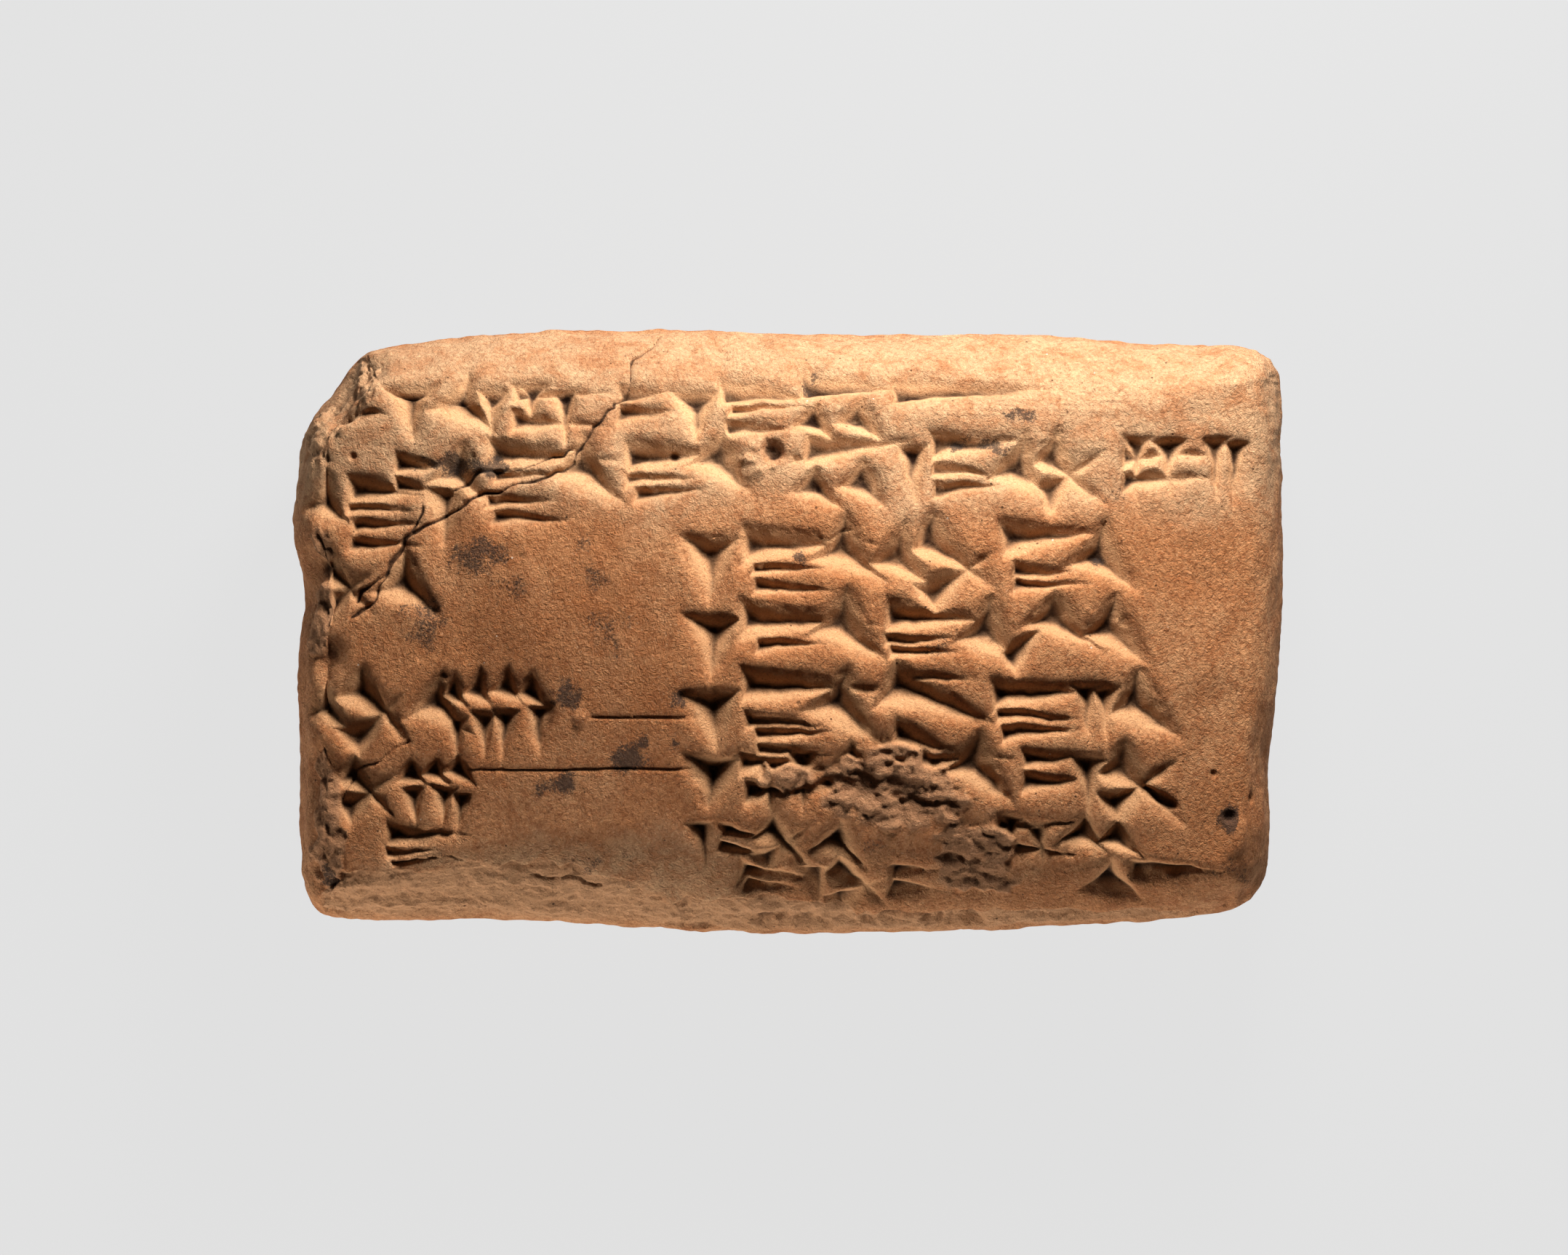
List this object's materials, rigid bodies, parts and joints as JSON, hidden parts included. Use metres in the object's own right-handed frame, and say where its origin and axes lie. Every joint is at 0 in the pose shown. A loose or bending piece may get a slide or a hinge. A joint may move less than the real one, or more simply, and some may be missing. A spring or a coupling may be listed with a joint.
{
  "type": "cuneiform tablet",
  "caption": "Small pillow-shaped clay tablet with rows of wedge-shaped stylus presses, a long crack, a broken corner and a flaked lower edge; lies flat on its reverse.",
  "frame": {"origin": "under the middle of the tablet's bounding box, on the plane that its reverse rests on", "axes": "+X along a line of strokes, from the broken upper left corner's side to the right; +Y towards the top edge; +Z out of the written face"},
  "size_m": [0.0678, 0.0414, 0.02],
  "materials": {
    "clay": "matte, fine sandy fired clay with grey stains"
  },
  "bodies": {
    "root": {"tablet": "clay"}
  },
  "joints": []
}
